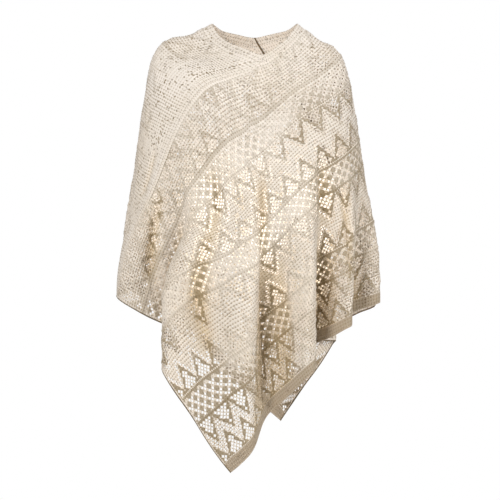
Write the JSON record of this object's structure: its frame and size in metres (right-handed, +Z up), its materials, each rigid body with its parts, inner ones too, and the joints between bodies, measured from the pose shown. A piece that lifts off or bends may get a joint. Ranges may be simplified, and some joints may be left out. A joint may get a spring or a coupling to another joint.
{
  "type": "wrap poncho",
  "caption": "Lace-knit wrap poncho in its worn shape: knitted rectangles joined end to edge, crossed V neck, long points front and back, ribbed hems, soft folds, open below.",
  "frame": {"origin": "middle of the neck opening, level with the tops of the shoulders, where the wearer's neck and shoulders hold the garment", "axes": "+Z up, the front of the garment faces -Y, +X towards the wearer's left shoulder (the viewer's right, seen from the front)"},
  "size_m": [0.5361, 0.356, 0.8959],
  "materials": {
    "front_panel": "matte cotton-blend lace knit",
    "front_border": "matte plain knit",
    "front_hem_rib": "matte rib knit",
    "back_panel": "matte cotton-blend lace knit",
    "back_border": "matte plain knit",
    "back_hem_rib": "matte rib knit"
  },
  "bodies": {
    "root": {"front_panel": "front_panel", "front_border": "front_border", "front_hem_rib": "front_hem_rib", "back_panel": "back_panel", "back_border": "back_border", "back_hem_rib": "back_hem_rib"}
  },
  "joints": []
}
